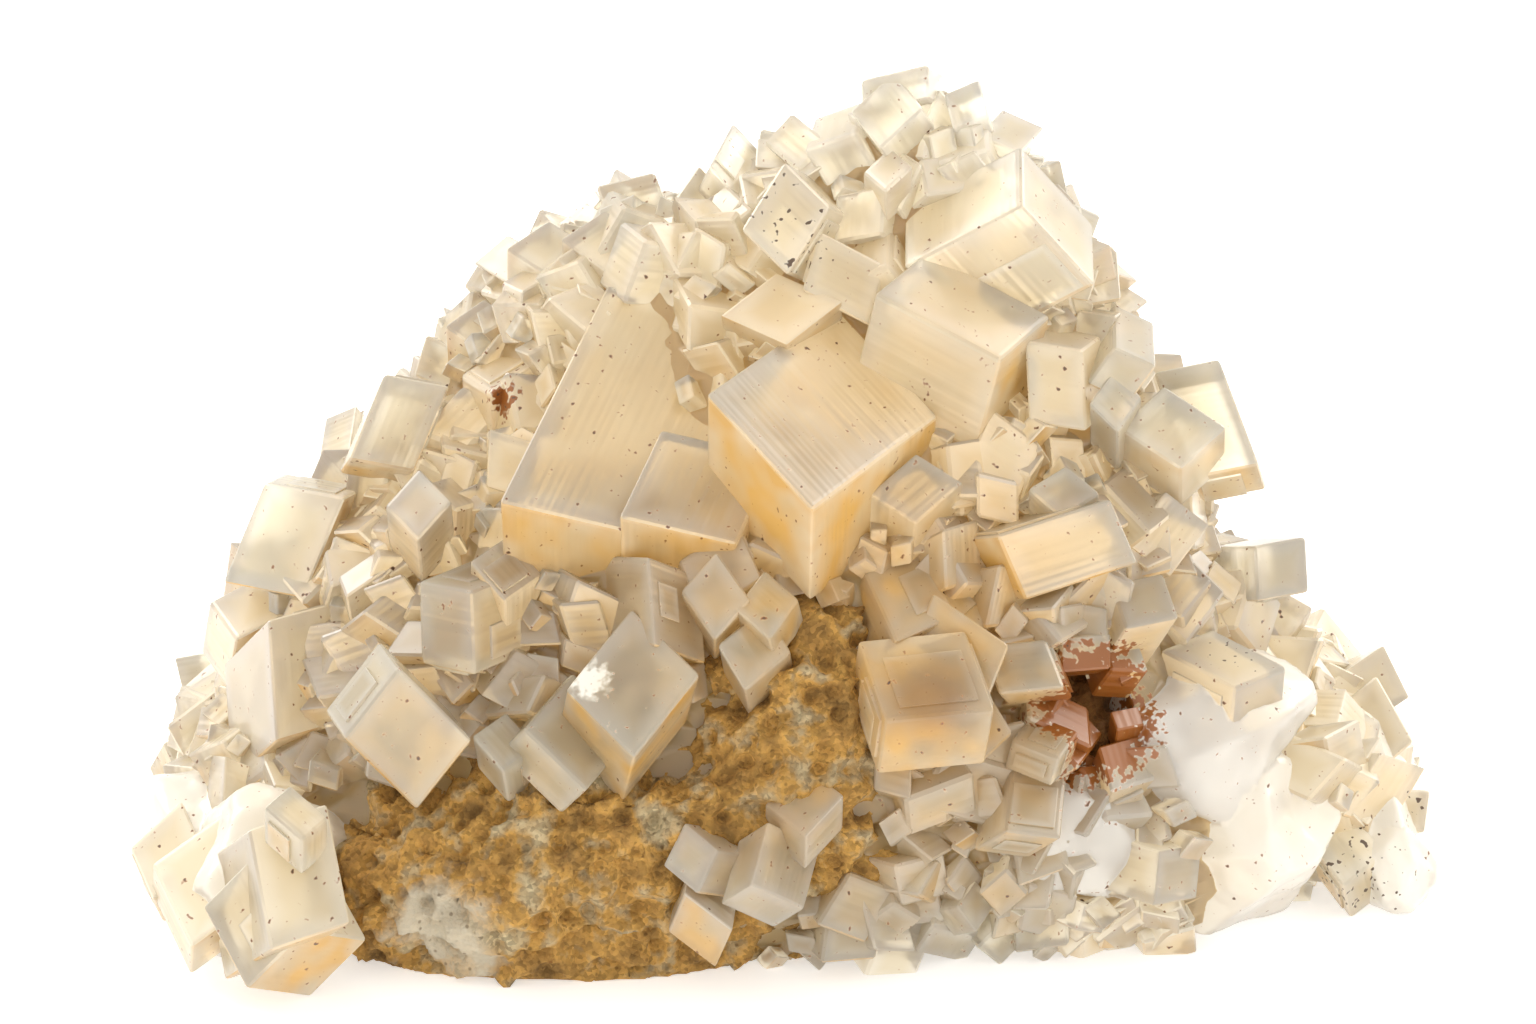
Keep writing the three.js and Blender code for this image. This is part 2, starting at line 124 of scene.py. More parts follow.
cycles = bpy.context.scene.cycles
cycles.max_bounces = 6
cycles.transmission_bounces = 5
cycles.diffuse_bounces = 2
cycles.glossy_bounces = 2

LENS = 100  # millimetres
CAMERA_ELEVATION = math.radians(20)
CAMERA_DISTANCE = 0.3894  # metres
camera = bpy.data.objects.new("camera", bpy.data.cameras.new("camera"))
looking = Vector((0, math.cos(CAMERA_ELEVATION), -math.sin(CAMERA_ELEVATION)))
camera.data.lens = LENS
camera.data.clip_start = 0.01
camera.location = LOOK_AT - CAMERA_DISTANCE * looking
camera.rotation_euler = looking.to_track_quat("-Z", "Y").to_euler()
bpy.context.scene.collection.objects.link(camera)
bpy.context.scene.camera = camera
bpy.context.scene.view_settings.view_transform = "Standard"


# The sandy limestone
# A lump of ochre rock, bedded and gritty, that the crystals grew on. It is bare low in front.
# It is three mounds run together, and then its surface is pushed in and out: swells, beds, pits
# and grains of sand.

# Heights and reaches in millimetres: z, left, right, front, back.
ROCK_SHELF = [
    (0, -43, 8, -31.5, 24),
    (6, -45, 11, -34.5, 26),
    (12, -42, 12, -34.5, 24),
    (17, -34, 10, -32, 20),
    (20, -22, 4, -24, 12),
]
ROCK_RIDGE = [
    (0, -14, 15, -27, 10),
    (8, -15, 16, -31, 10),
    (18, -14, 15, -31, 8),
    (26, -9, 13, -28.5, 4),
    (30, -3, 9, -24, 0),
]
ROCK_RIGHT = [
    (0, 6, 36, -18, 22),
    (8, 6, 38, -21, 24),
    (18, 8, 36, -22, 20),
    (24, 12, 30, -16, 12),
]
ROCK_LUMPS = 0.035  # how far the outlines swell, as a share of their reach
SQUARENESS = 2.4  # of an outline: 2 is an ellipse
CAP = 1  # rise of a mound's top over its highest outline


def outline_at(levels, z):
    """The middle and the half sizes of a mound's outline at one height."""
    upper = next((i for i, level in enumerate(levels) if level[0] >= z), len(levels) - 1)
    upper = max(upper, 1)
    below, above = levels[upper - 1], levels[upper]
    share = min(max((z - below[0]) / (above[0] - below[0]), 0), 1)
    left, right, front, back = [low + (high - low) * share for low, high in zip(below[1:], above[1:])]
    return (left + right) / 2, (front + back) / 2, (right - left) / 2, (back - front) / 2


def swelling(angle, z):
    """Hollows and swellings around a mound, as a share of its reach."""
    return (0.45 * math.sin(3 * angle + 0.11 * z + 1.3)
            + 0.3 * math.sin(5 * angle - 0.19 * z + 0.4)
            + 0.25 * math.sin(9 * angle + 0.33 * z + 2.1))


def mound_point(levels, lumps, angle, z):
    """The point of a mound's side at one height and angle."""
    x, y, half_width, half_depth = outline_at(levels, z)
    c, s = math.cos(angle), math.sin(angle)
    square = (abs(c) ** SQUARENESS + abs(s) ** SQUARENESS) ** (-1 / SQUARENESS)
    reach = square * (1 + lumps * swelling(angle, z))
    return Vector((x + half_width * reach * c, y + half_depth * reach * s, z))


def mound_mesh(levels, lumps, sides, step):
    """A mound lofted in rings about step millimetres apart, as a closed bmesh."""
    heights = [levels[0][0]]
    for below, above in zip(levels, levels[1:]):
        parts = max(1, round((above[0] - below[0]) / step))
        heights += [below[0] + (above[0] - below[0]) * i / parts for i in range(1, parts + 1)]
    bm = bmesh.new()
    rings = [[bm.verts.new(mound_point(levels, lumps, 2 * math.pi * i / sides, z)) for i in range(sides)]
             for z in heights]
    x, y, _, _ = outline_at(levels, heights[0])
    bottom = bm.verts.new((x, y, heights[0]))
    x, y, _, _ = outline_at(levels, heights[-1])
    top = bm.verts.new((x, y, heights[-1] + CAP))
    for i in range(sides):
        following = (i + 1) % sides
        bm.faces.new((bottom, rings[0][following], rings[0][i]))
        bm.faces.new((top, rings[-1][i], rings[-1][following]))
        for low, high in zip(rings, rings[1:]):
            bm.faces.new((low[i], low[following], high[following], high[i]))
    return bm


def mesh_from(bm, name):
    """A bmesh in millimetres as a mesh in metres."""
    bmesh.ops.scale(bm, vec=(MM, MM, MM), verts=bm.verts)
    mesh = bpy.data.meshes.new(name)
    bm.to_mesh(mesh)
    bm.free()
    return mesh


def applied(piece):
    """The piece's mesh with its modifiers worked in."""
    graph = bpy.context.evaluated_depsgraph_get()
    mesh = bpy.data.meshes.new_from_object(piece.evaluated_get(graph))
    piece.modifiers.clear()
    piece.data = mesh
    return mesh


def joined(piece, others, operation="UNION"):
    """Joins closed objects to a piece, or cuts it by them, and deletes them."""
    tools = bpy.data.collections.new("tools")
    bpy.context.scene.collection.children.link(tools)
    for other in others:
        bpy.context.scene.collection.objects.unlink(other)
        tools.objects.link(other)
    step = piece.modifiers.new("joined", "BOOLEAN")
    step.operand_type = "COLLECTION"
    step.collection = tools
    step.operation = operation
    step.solver = "MANIFOLD"
    applied(piece)
    for other in others:
        bpy.data.objects.remove(other)
    bpy.data.collections.remove(tools)


BLOCK = 200  # wider than the specimen


def below_floor():
    """A block under the floor, to cut a piece off flat where it rests."""
    bm = bmesh.new()
    bmesh.ops.create_cube(bm, size=BLOCK)
    bmesh.ops.translate(bm, vec=(0, 0, -BLOCK / 2), verts=bm.verts)
    return link_object("below_floor", mesh_from(bm, "below_floor"))


ROCK_GRID = 0.5  # millimetres between points of the broken surface
ROCK_SIDES, ROCK_RING = 90, 2
rock_lumps = []
for levels in (ROCK_SHELF, ROCK_RIDGE, ROCK_RIGHT):
    mound = mound_mesh(levels, ROCK_LUMPS, ROCK_SIDES, ROCK_RING)
    rock_lumps.append(link_object("rock_lump", mesh_from(mound, "rock_lump")))
rock = rock_lumps[0]
rock.name = "limestone_matrix_rock"
joined(rock, rock_lumps[1:])
grid = rock.modifiers.new("grid", "REMESH")
grid.mode = "VOXEL"
grid.voxel_size = ROCK_GRID * MM
applied(rock)


PIT_DEPTH = 2.0086
PIT_REACH = 0.6391  # in steps of the pits' pattern, which are 1.8 mm
FOOT = 0.6  # the rock's lowest part stays as it is, to rest flat


def broken_rock(point):
    """How far the broken surface stands out of the plain one at a point, in millimetres."""
    swells = 1.5 * noise.fractal(point * 0.09, 1.0, 2.1, 4, noise_basis="PERLIN_ORIGINAL")
    beds = 0.35 * math.sin(point.z * 1.5 + 2.0 * noise.noise(point * 0.1))
    lumps = 0.75 * noise.fractal(point * 0.45, 0.9, 2.2, 3, noise_basis="PERLIN_ORIGINAL")
    to_pit = noise.voronoi(point * 0.55)[0][0]
    pits = PIT_DEPTH * max(0.0, 1 - to_pit / PIT_REACH)
    grains = 0.16 * noise.noise(point * 2.6)
    return swells + beds + lumps - pits + grains


for vertex, normal in zip(rock.data.vertices, [n.vector.copy() for n in rock.data.vertex_normals]):
    here = vertex.co / MM
    if here.z > FOOT:
        vertex.co += normal * broken_rock(here) * MM
joined(rock, [below_floor()], "DIFFERENCE")
rock.data.polygons.foreach_set("use_smooth", [True] * len(rock.data.polygons))

# Sandy limestone stained by iron: matt, ochre and tan with rusty and grey patches, each grain of sand
# its own shade, dark where it is pitted, and a chalk-white patch low on the left.
limestone, tree, output = new_material("sandy_limestone_broken")
place = add(tree, "ShaderNodeTexCoord")
in_mm = add(tree, "ShaderNodeVectorMath", {0: place.outputs["Object"], 3: 1 / MM}, operation="SCALE")
where = in_mm.outputs[0]
patches = add(tree, "ShaderNodeTexNoise", {"Vector": where, "Scale": 0.3, "Detail": 3, "Roughness": 0.5})
tones = add(tree, "ShaderNodeValToRGB", {"Fac": patches.outputs["Fac"]})
ramp = tones.color_ramp
ramp.elements[0].position = 0.3
ramp.elements[0].color = linear("8a6a3c")
ramp.elements[1].position = 0.72
ramp.elements[1].color = linear("c9b892")
ramp.elements.new(0.42).color = linear("b0874a")
ramp.elements.new(0.52).color = linear("c79a52")
ramp.elements.new(0.62).color = linear("b8a078")
# grains of medium sand
grain = add(tree, "ShaderNodeTexVoronoi", {"Vector": where, "Scale": 2.6})
grain_tone = add(tree, "ShaderNodeSeparateColor", {0: grain.outputs["Color"]})
grain_shade = add(tree, "ShaderNodeMapRange", {"Value": grain_tone.outputs[0], "To Min": 0.68,
                                               "To Max": 1.22})
grained = add(tree, "ShaderNodeVectorMath", {0: tones.outputs["Color"], 3: grain_shade.outputs[0]},
              operation="SCALE")
# rust in the pocket on the right, and in spots elsewhere
pocket = add(tree, "ShaderNodeVectorMath", {0: where, 1: (28, -20, 18)}, operation="DISTANCE")
near_pocket = add(tree, "ShaderNodeMapRange", {"Value": pocket.outputs["Value"], "From Min": 13.0,
                                               "From Max": 6.0})
rust_spots = add(tree, "ShaderNodeTexNoise", {"Vector": where, "Scale": 0.7, "Detail": 5, "Roughness": 0.7})
spots = add(tree, "ShaderNodeMapRange", {"Value": rust_spots.outputs["Fac"], "From Min": 0.62,
                                         "From Max": 0.74})
rust_share = add(tree, "ShaderNodeMath", {0: near_pocket.outputs[0], 1: spots.outputs[0]},
                 operation="MAXIMUM")
rust_share = add(tree, "ShaderNodeMath", {0: rust_share.outputs[0], 1: 0.75}, operation="MULTIPLY")
rusty = add(tree, "ShaderNodeMix", {0: rust_share.outputs[0], 6: grained.outputs[0], 7: linear("7a4722")},
            data_type="RGBA")
# the chalk-white patch
chalk = add(tree, "ShaderNodeVectorMath", {0: where, 1: (-29, -35, 4.5)}, operation="DISTANCE")
ragged = add(tree, "ShaderNodeMath", {0: patches.outputs["Fac"], 1: 9.0, 2: chalk.outputs["Value"]},
             operation="MULTIPLY_ADD")
chalk_share = add(tree, "ShaderNodeMapRange", {"Value": ragged.outputs[0], "From Min": 11.0, "From Max": 8.5,
                                               "To Max": 0.85})
chalky = add(tree, "ShaderNodeMix", {0: chalk_share.outputs[0], 6: rusty.outputs[2], 7: linear("d6cdb8")},
             data_type="RGBA")
# dark pits
pitted = add(tree, "ShaderNodeTexVoronoi", {"Vector": where, "Scale": 0.9})
pit_share = add(tree, "ShaderNodeMapRange", {"Value": pitted.outputs["Distance"], "From Min": 0.2,
                                             "From Max": 0.1, "To Max": 0.55})
coloured = add(tree, "ShaderNodeMix", {0: pit_share.outputs[0], 6: chalky.outputs[2], 7: linear("5c4120")},
               data_type="RGBA")
rough = add(tree, "ShaderNodeTexNoise", {"Vector": where, "Scale": 1.2, "Detail": 8, "Roughness": 0.75})
height = add(tree, "ShaderNodeMath", {0: grain.outputs["Distance"], 1: -0.6, 2: rough.outputs["Fac"]},
             operation="MULTIPLY_ADD")
bump = add(tree, "ShaderNodeBump", {"Strength": 0.7, "Distance": 0.0004, "Height": height.outputs[0]})
surface = add(tree, "ShaderNodeBsdfPrincipled", {"Base Color": coloured.outputs[2], "Roughness": 0.92,
                                                 "Normal": bump.outputs[0], "Specular IOR Level": 0.3})
tree.links.new(surface.outputs[0], output.inputs["Surface"])
rock.data.materials.clear()
rock.data.materials.append(limestone)
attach(rock, "root")
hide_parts("limestone_matrix")


# The calcite crust
# Hundreds of calcite rhombs that grew into each other over the rock, milky inside with clearer rims
# and with stepped faces. Small druse lies between them, and low on the right massive white calcite.
# Each crystal is a sheared box; all are joined into one closed solid, cut flat where it rests.

# Heights and reaches of the crust in millimetres: z, left, right, front, back.
CRUST_LEVELS = [
    (0, -50, 51, -28, 31),
    (5, -54, 54, -31, 34),
    (12, -51, 51, -31, 34),
    (20, -46, 43, -28, 33),
    (30, -40, 37, -23, 30),
    (40, -30, 32, -16, 25),
    (48, -26, 28.5, -9, 19),
    (54, -20.5, 25.5, -3.5, 15),
    (56.5, -12, 24.5, -1, 14.5),
    (60, 0, 21, 1, 14),
    (64.5, 5, 15.5, 4, 10.5),
]
CRUST_LUMPS = 0.05  # how far the outlines swell, as a share of their reach
EDGE_TO_AXIS = math.radians(63.7)  # between the long axis of a calcite rhomb and each of its edges

# name, corner that points forward, long axis (azimuth, tilt, spin in degrees), edges in millimetres
LARGE_CRYSTALS = [
    ("big slab", (-23.5, -21.5, 39.5), (-62, 85, -48), (-24, 20, -7.5)),
    ("middle cube", (2.5, -29, 41.5), (-10, 66, -32), (-14, 19, -11)),
    ("upper right", (20.5, -5.5, 60.5), (-80, 52, -12), (-8, -11.5, -10)),
    ("under the upper right", (18.5, -14, 49.5), (-63, 73, 50), (-12, -9, -9)),
    ("dotted, near the top", (0.5, -9.5, 55.5), (-35, 70, 15), (-5.5, 7, -11.5)),
    ("right box", (34, -13.5, 39.5), (90, 80, -5), (6, 6.5, 5.5)),
    ("right outer slab", (41, -11, 39), (50, 70, 20), (6, 10, -6)),
    ("right wedge", (18, -23, 37), (85, 55, 35), (15, -6.5, 10.5)),
    ("twin in the slab", (-13.5, -22.5, 38.5), (-62, 85, -48), (-9.5, 10, -7.5)),
    ("left of the slab", (-25, -8, 44.5), (170, 65, 50), (-8.5, -10, 8)),
    ("left outer 1", (-37, -11, 39.5), (130, 60, -25), (7, -6, 8)),
    ("left outer 2", (-41.5, -10.5, 26.5), (-160, 35, -50), (8, -6, 9.5)),
    ("left outer 3", (-47.5, -10, 22.5), (-180, 50, 40), (-6, -6, 7)),
    ("left pyramid", (-43, -21, 17.5), (160, 75, -35), (13, -8, 10.5)),
    ("left middle cube", (-31.5, -30, 28), (47, 87, -30), (9, 6, -8)),
    ("lower left big", (-12, -36, 22.5), (-155, 65, 15), (-9, -8.5, 9)),
    ("behind the lower left", (-16, -33.5, 18.5), (-130, 45, 10), (-8, -4, 7.5)),
    ("middle tall", (-10.5, -29, 29.5), (10, 60, 25), (6, 7.5, -12.5)),
    ("left middle box", (-25.5, -27, 26), (-70, 45, 55), (-5, 7, -8)),
    ("centre wedge", (-6.5, -26.5, 31), (-165, 55, 5), (-6, -5, 6)),
    ("right of centre", (9.5, -28, 29.5), (-170, 40, 20), (-6, -5, 8)),
    ("right centre band", (17, -30, 25), (-150, 88, 5), (-5, -4, 8)),
    ("lower centre", (8.5, -34, 25), (-120, 75, 45), (-8.5, -6, -9)),
    ("right yellow block", (29, -22.5, 28.5), (170, 35, 35), (-5, -7.5, 6)),
    ("small yellow", (18, -28.5, 25), (5, 20, -5), (5.5, 5, -4)),
    ("upright glassy", (26, -12.5, 42.5), (-45, 45, 45), (-5, 7, -13)),
    ("right box 2", (36, -9.5, 30.5), (-35, 40, 35), (-6, 6.5, -9.5)),
    ("right box 3", (36, -12, 29.5), (30, 40, -35), (-6, 5, -5)),
    ("right outer 2", (41.5, -10, 26), (-130, 35, -35), (-5, -7, 5)),
    ("right outer 3", (45, -4, 20), (105, 75, -5), (4, 5.5, 4)),
    ("right phantom", (52.5, -8, 8.5), (-160, 65, -5), (-5, -4, 7)),
    ("right end box", (52, -13, 5.5), (-140, 25, -35), (-5, -6, 4)),
    ("left front foot", (-41.5, -42, 8), (-150, 35, -5), (-7, -11, 11)),
    ("left block of the foot", (-49, -35, 5), (-170, 55, 20), (-8, -5, 10)),
    ("right block of the foot", (-44, -40, 3.5), (-60, 70, 10), (-8, 7, -8)),
    ("small, on the left foot", (-39, -39, 16.5), (5, 65, -40), (-4.5, 4.5, -4)),
    ("step box", (23, -31.5, 20.5), (-160, 55, 45), (-4, -3, 5)),
    ("white block", (18.5, -34, 15), (165, 15, 30), (-5, -5, 7.5)),
    ("left end", (-53.5, -26, 5), (-170, 65, 10), (-6, -6, 6)),
    ("top", (7, 4, 66), (126, 72, -55), (7, -6, 3)),
    ("top right", (15, 4, 64.5), (-45, 85, -12), (-3.5, 3.5, -4)),
    ("top left", (2, 3, 63), (-65, 35, -35), (-9, 5, -4)),
    ("top middle", (8.5, 0, 64), (-39, 63, -6), (-4.5, 5.5, -5)),
    ("grey, under the top", (5, -7.5, 54), (-70, 40, -25), (-9.5, 4.5, -5)),
    ("wedge under the top", (7.5, -9.5, 51), (-30, 55, 20), (-6.5, 5.5, -6)),
    ("shelf 1", (-15, -2, 53.5), (-91, 85, -60), (-5, -5.5, -5.5)),
    ("shelf 2", (-20.5, 1, 52.5), (-86, 81, 59), (-4.5, -4.5, -5)),
    ("shelf 3", (-26.5, 1, 45.5), (-89, 87, 60), (-4, -5.5, -4.5)),
    ("right edge", (29.7, -11, 44.5), (-125, 30, 35), (-13, 4, 4)),
    ("shoulder block", (38.5, -21, 22.5), (-90, 57, 56), (-8, -7, -6)),
    ("right wing", (42.5, -14, 18.5), (-10, 75, -45), (-9.5, 5, -6)),
    ("low right", (48.5, -21, 4), (-30, 60, -25), (-6, 5.5, -5)),
    ("honey block 1", (-5.5, -29, 30), (-161, 70, 3), (-4.5, -8.5, 5.5)),
    ("honey block 2", (-1, -30, 30.5), (-16, 58, -17), (-4, 5, -4)),
    ("honey block 3", (-3, -31.5, 26.5), (-27, 74, -12), (-4.5, 5.5, -6)),
    ("left of the dotted", (-3.5, 3, 58.5), (8, 75, -20), (-4, 8, -3.5)),
    ("above the shelf", (-7, 3, 55), (-18, 71, 0), (-4, 5, -7.5)),
    ("under the wedge", (15, -27, 29), (-8, 68, -34), (-4.5, 6.5, -5)),
    ("between box and slab", (-23, -24, 31.5), (-7, 67, -34), (-5, 5.5, -5)),
    ("left jumble 1", (-30.5, -20, 35.5), (-166, 67, 23), (-4.5, -6.5, 5.5)),
    ("right jumble 1", (23.5, -20, 37.5), (-98, 89, 59), (-4, -5, -4)),
    ("right jumble 2", (28.5, -14, 43), (-18, 64, -11), (-3.5, 4.5, -7.5)),
    ("neck", (9, -3, 61), (-174, 64, 29), (-3.5, -4, 4)),
    ("low left", (-23, -32, 19.5), (-13, 62, -33), (-4.5, 4.5, -4)),
]

# middle and radii in millimetres
MASSIVE_CALCITE = [
    ("white knob, low right", (39.5, -18, 7), (8.5, 9, 8)),
    ("white shoulder above it", (36.5, -14.5, 16), (9.5, 9.5, 8.5)),
    ("stepped white mass", (22, -21, 10), (10, 8, 8)),
    ("left foot", (-44, -23, 5), (8, 12, 8)),
    ("left end", (-49, -13, 5), (7, 12, 7)),
    ("right end", (52, -6, 5), (6, 12, 8)),
    ("round clump, right end", (54, -16, 3.5), (3.6, 4, 3.6)),
]
BARE_MASSES = MASSIVE_CALCITE[:2]  # these two have no crystals on them
HOLLOWS = [
    ("rusty pocket", (26.5, -26, 21), (3.5, 10, 5.5)),
    ("undercut", (15, -34, -1), (15, 12, 6)),
]

stream = 20261


def chance(low=0.0, high=1.0):
    """The next number of one repeatable stream, so that the specimen is the same each time."""
    global stream
    stream = (stream * 1664525 + 1013904223) % 4294967296
    return low + (high - low) * stream / 4294967296


def edge_directions(axis):
    """The directions of the three edges that meet at a rhomb's corner on its long axis."""
    azimuth, tilt, spin = [math.radians(angle) for angle in axis]
    turn = Matrix.Rotation(azimuth, 3, "Z") @ Matrix.Rotation(tilt, 3, "Y") @ Matrix.Rotation(spin, 3, "Z")
    out = math.sin(EDGE_TO_AXIS)
    return [turn @ Vector((out * math.cos(around), out * math.sin(around), math.cos(EDGE_TO_AXIS)))
            for around in (0, 2 * math.pi / 3, 4 * math.pi / 3)]


def middle_of(corner, axis, edges):
    """The middle of a crystal."""
    halves = [way * edge / 2 for way, edge in zip(edge_directions(axis), edges)]
    return Vector(corner) + sum(halves, Vector())


# the thick heart of the specimen, where the crystals' colour is painted darker, as in shade
HEART_HEIGHT, HEART_WIDE, HEART_HIGH = 28, 55, 42  # millimetres


def painted_backlight_glow(point):
    """Painted backlight glow: from 0 in the thick heart of the specimen, painted a shaded honey-grey, to 1
    at its thin ends, painted pale as if lit through from behind, less so low down.
    """
    away = math.hypot(point[0] / HEART_WIDE, (point[2] - HEART_HEIGHT) / HEART_HIGH)
    share = min(max((away - 0.35) / 0.65, 0), 1)
    height = min(max((point[2] - 8) / 20, 0), 1)
    return share * share * (3 - 2 * share) * (0.35 + 0.65 * height)


def mark(bm, middle, ways, half, painted_glow_and_tone):
    """Stores on each face its crystal's middle, its three lattice directions, half sizes and painted glow
    and tone, which is how far its colour is painted towards the backlit pale.
    """
    layers = bm.faces.layers
    vectors = {"middle": middle, "along_a": ways[0], "along_b": ways[1], "along_c": ways[2], "half": half}
    kept = [(layers.float_vector.new(name), value) for name, value in vectors.items()]
    painted_glow_layer = layers.float.new("painted_glow_and_tone")
    for face in bm.faces:
        for layer, value in kept:
            face[layer] = value
        face[painted_glow_layer] = painted_glow_and_tone(face.calc_center_median())


CUBE_FACES = [(0, 2, 3, 1), (4, 5, 7, 6), (0, 1, 5, 4), (2, 6, 7, 3), (0, 4, 6, 2), (1, 3, 7, 5)]


def rhomb(corner, axis, edges, worn, painted_glow_and_tone, segments=2):
    """One crystal: a box sheared onto its three edges, with its edges worn round by a width."""
    a, b, c = [way * edge for way, edge in zip(edge_directions(axis), edges)]
    bm = bmesh.new()
    points = [bm.verts.new(Vector(corner) + a * i + b * j + c * k)
              for i in (0, 1) for j in (0, 1) for k in (0, 1)]
    for face in CUBE_FACES:
        bm.faces.new([points[i] for i in face])
    bmesh.ops.recalc_face_normals(bm, faces=bm.faces)
    bmesh.ops.bevel(bm, geom=bm.edges[:], offset=worn, segments=segments, profile=0.6, affect="EDGES")
    to_shares = Matrix((a, b, c)).transposed().inverted()
    ways = [to_shares[i] * abs(edge) for i, edge in enumerate(edges)]
    mark(bm, Vector(corner) + (a + b + c) / 2, ways, [abs(edge) / 2 for edge in edges], lambda point: painted_glow_and_tone)
    return link_object("crystal", mesh_from(bm, "crystal"))


# how many thin layers stand on a crystal, where that isn't one
STEPS = {"left middle box": 4, "middle tall": 4, "lower centre": 4, "step box": 5, "left middle cube": 3,
         "right centre band": 3, "white block": 4, "left outer 1": 2, "big slab": 0, "twin in the slab": 0}
SUNK = 0.8  # how deep a layer reaches into its crystal, in millimetres


def growth_steps(corner, axis, edges, count, worn, painted_glow_and_tone):
    """Thin parallel layers that the crystal was adding to its faces when it stopped growing."""
    ways = edge_directions(axis)
    made = []
    for _ in range(count):
        across = int(chance(0, 3))
        far_side = chance() < 0.5
        thick = chance(0.1, 0.3)
        spans = []
        for i, edge in enumerate(edges):
            sign = math.copysign(1, edge)
            if i == across:
                start = edge - sign * SUNK if far_side else -sign * thick
                spans.append((start, sign * (SUNK + thick)))
            else:
                share = chance(0.35, 0.8)
                begin = chance(0.04, 0.96 - share)
                spans.append((edge * begin, edge * share))
        start = Vector(corner) + sum((way * span[0] for way, span in zip(ways, spans)), Vector())
        made.append(rhomb(start, axis, [span[1] for span in spans], worn, painted_glow_and_tone))
    return made


def inside_mound(levels, lumps, point, margin):
    """Whether a point lies in a mound, or less than margin outside it."""
    if point[2] > levels[-1][0] + margin:
        return False
    x, y, half_width, half_depth = outline_at(levels, point[2])
    dx = (point[0] - x) / (half_width + margin)
    dy = (point[1] - y) / (half_depth + margin)
    away = (abs(dx) ** SQUARENESS + abs(dy) ** SQUARENESS) ** (1 / SQUARENESS)
    return away < 1 + lumps * swelling(math.atan2(dy, dx), point[2])


def on_bare_rock(point, margin=1.0):
    """Whether a point lies in the rock or less than margin outside it, where no crystal grew."""
    return any(inside_mound(levels, ROCK_LUMPS, point, margin)
               for levels in (ROCK_SHELF, ROCK_RIDGE, ROCK_RIGHT))


def within(lumps, point, margin):
    """Whether a point lies in one of some ellipsoids, or less than margin outside it."""
    return any(math.sqrt(sum(((p - m) / (r + margin)) ** 2 for p, m, r in zip(point, middle, radii))) < 1
               for _, middle, radii in lumps)


LARGE_FRAMES = []
for _, corner, axis, edges in LARGE_CRYSTALS:
    to_lattice = Matrix(edge_directions(axis)).transposed().inverted()
    LARGE_FRAMES.append((middle_of(corner, axis, edges), to_lattice, [abs(edge) / 2 for edge in edges]))


def crowds_large(point, clear):
    """Whether a point lies in a large crystal or less than clear millimetres off its faces."""
    for middle, to_lattice, half in LARGE_FRAMES:
        away = point - middle
        if away.length < sum(half) + 3 * clear:
            if max(abs(share) - reach for share, reach in zip(to_lattice @ away, half)) < clear:
                return True
    return False


LARGE_WORN, FILL_WORN, LAYER_WORN = 0.45, 0.2, 0.08
crystals = []
for _, corner, axis, edges in LARGE_CRYSTALS:
    # its colour is painted paler by the backlight glow where the specimen is thin
    painted_glow_and_tone = painted_backlight_glow(middle_of(corner, axis, edges))
    crystals.append(rhomb(corner, axis, edges, LARGE_WORN, painted_glow_and_tone, 3))

# crystals of middling size, in rows around the mound
FILL_ROW, FILL_SPACING = 7, 9.5
FILL_SIZE_LOW, FILL_SIZE_HIGH = (4, 7.5), (3.5, 5.5)
row = 3
while row < CRUST_LEVELS[-1][0]:
    _, _, half_width, half_depth = outline_at(CRUST_LEVELS, row)
    count = max(3, math.floor(math.pi * (half_width + half_depth) / FILL_SPACING + 0.5))
    for i in range(count):
        angle = 2 * math.pi * (i + chance(0.1, 0.9)) / count
        height = row + chance(-2.5, 2.5)
        share = row / CRUST_LEVELS[-1][0]
        size = chance(*[low + (high - low) * share for low, high in zip(FILL_SIZE_LOW, FILL_SIZE_HIGH)])
        axis = (chance(-180, 180), chance(15, 90), chance(-60, 60))
        edges = [size * chance(0.75, 1.2) for _ in range(3)]
        middle = mound_point(CRUST_LEVELS, CRUST_LUMPS, angle, height)
        if on_bare_rock(middle) or within(HOLLOWS, middle, size / 2):
            continue
        if within(BARE_MASSES, middle, 1.5) or crowds_large(middle, 0.25 * size):
            continue
        corner = middle - middle_of((0, 0, 0), axis, edges)
        crystals.append(rhomb(corner, axis, edges, FILL_WORN, painted_backlight_glow(middle)))
    row += FILL_ROW

# the growth layers take their crystal's painted backlight glow
for name, corner, axis, edges in LARGE_CRYSTALS:
    painted_glow_and_tone = painted_backlight_glow(middle_of(corner, axis, edges))
    crystals += growth_steps(corner, axis, edges, STEPS.get(name, 1), LAYER_WORN, painted_glow_and_tone)

